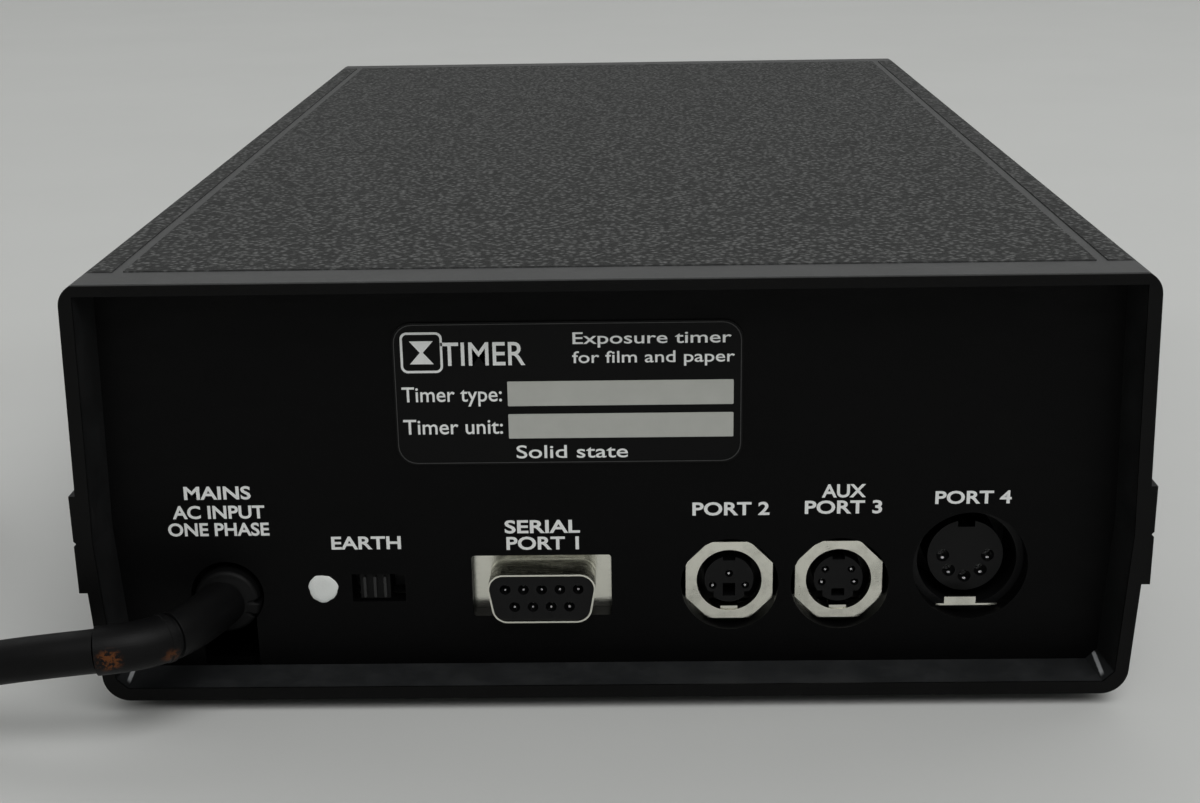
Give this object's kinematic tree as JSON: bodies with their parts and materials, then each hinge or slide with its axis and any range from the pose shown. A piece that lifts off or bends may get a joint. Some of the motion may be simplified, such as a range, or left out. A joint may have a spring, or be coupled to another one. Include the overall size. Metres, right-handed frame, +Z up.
{
  "type": "darkroom enlarger timer",
  "caption": "Low two-shell instrument case with recessed panels: rear sockets, a slide switch and a mains cord; front display, buttons and a time knob.",
  "frame": {"origin": "centre of the case's footprint on the surface that its feet stand on, measured without the cord", "axes": "+Z up, the front panel and its controls face -Y, the rear sockets face +Y"},
  "size_m": [0.3109, 0.278, 0.0673],
  "materials": {
    "case_plastic": "leather-grain moulded",
    "panel_plastic": "fine matte",
    "plate_foil": "satin",
    "foot_rubber": "matte",
    "relief_rubber": "satin",
    "cord_vinyl": "satin",
    "plug_vinyl": "satin",
    "pin_brass": "polished",
    "screw_steel": "zinc plated",
    "socket_metal": "nickel plated",
    "socket_plastic": "moulded",
    "contact_metal": "gold flashed",
    "slider_plastic": "moulded",
    "board_laminate": "solder resist",
    "chip_plastic": "moulded",
    "relay_plastic": "moulded",
    "can_metal": "sleeved",
    "sink_metal": "black anodised",
    "fuse_glass": "clear",
    "clip_metal": "tinned",
    "header_plastic": "moulded",
    "core_steel": "varnished laminations",
    "winding_tape": "polyester tape",
    "strap_steel": "zinc plated",
    "window_glass": "tinted red",
    "digit_plastic": "moulded",
    "switch_plastic": "moulded",
    "button_grey": "moulded",
    "button_green": "moulded",
    "button_red": "moulded",
    "pot_metal": "drawn",
    "knob_plastic": "fluted",
    "cap_metal": "spun",
    "rocker_plastic": "moulded",
    "wire_vinyl": "insulated",
    "ribbon_vinyl": "flat cable"
  },
  "bodies": {
    "case": {"case_top": "case_plastic", "case_bottom": "case_plastic", "case_screws": "screw_steel", "rubber_feet": "foot_rubber", "rear_panel": "panel_plastic", "front_panel": "panel_plastic", "rating_plate": "plate_foil", "serial_shell": "socket_metal", "serial_insert": "socket_plastic", "serial_contacts": "contact_metal", "shutter_socket_shield": "socket_metal", "shutter_socket_body": "socket_plastic", "shutter_socket_contacts": "contact_metal", "photo_socket_shield": "socket_metal", "photo_socket_body": "socket_plastic", "photo_socket_contacts": "contact_metal", "remote_socket_body": "socket_plastic", "remote_socket_contacts": "contact_metal", "remote_socket_spring": "socket_metal", "ground_switch_body": "switch_plastic", "ground_switch_frame": "socket_metal", "switch_terminals": "clip_metal", "strain_relief": "relief_rubber", "power_cord": "cord_vinyl", "power_cord_coil": "cord_vinyl", "power_cord_end": "cord_vinyl", "plug_body": "plug_vinyl", "plug_pins": "pin_brass", "main_board": "board_laminate", "board_screws": "screw_steel", "logic_chips": "chip_plastic", "relays": "relay_plastic", "smoothing_capacitors": "can_metal", "heat_sink": "sink_metal", "voltage_regulator": "chip_plastic", "fuse": "fuse_glass", "fuse_clips": "clip_metal", "board_connectors": "header_plastic", "transformer_core": "core_steel", "transformer_windings": "winding_tape", "transformer_strap": "strap_steel", "transformer_screws": "screw_steel", "display_window": "window_glass", "display_board": "board_laminate", "display_digits": "digit_plastic", "button_switches": "switch_plastic", "time_pot": "pot_metal", "pot_nut": "clip_metal", "power_switch_body": "switch_plastic", "mains_leads": "wire_vinyl", "ribbon_cable": "ribbon_vinyl"},
    "ground_slider": {"ground_switch_slider": "slider_plastic"},
    "power_rocker": {"power_rocker": "rocker_plastic"},
    "focus_button": {"focus_button": "button_grey"},
    "start_button": {"start_button": "button_green"},
    "reset_button": {"reset_button": "button_red"},
    "time_knob": {"time_knob": "knob_plastic", "time_shaft": "strap_steel", "knob_cap": "cap_metal"}
  },
  "joints": [
    {"name": "ground_slide", "type": "slide", "parent": "case", "child": "ground_slider", "axis": [-1, 0, 0], "range_m": [0, 0.0023]},
    {"name": "power_rock", "type": "hinge", "parent": "case", "child": "power_rocker", "pos_m": [-0.0585, -0.1146, 0.026], "axis": [-1, 0, 0], "range_deg": [0, 20]},
    {"name": "focus_button_press", "type": "slide", "parent": "case", "child": "focus_button", "axis": [0, 1, 0], "range_m": [0, 0.0012], "stiffness_N_per_m": 900},
    {"name": "start_button_press", "type": "slide", "parent": "case", "child": "start_button", "axis": [0, 1, 0], "range_m": [0, 0.0012], "stiffness_N_per_m": 900},
    {"name": "reset_button_press", "type": "slide", "parent": "case", "child": "reset_button", "axis": [0, 1, 0], "range_m": [0, 0.0012], "stiffness_N_per_m": 900},
    {"name": "time_turn", "type": "hinge", "parent": "case", "child": "time_knob", "pos_m": [0.041, -0.125, 0.037], "axis": [0, 1, 0], "range_deg": [-150, 150]}
  ]
}
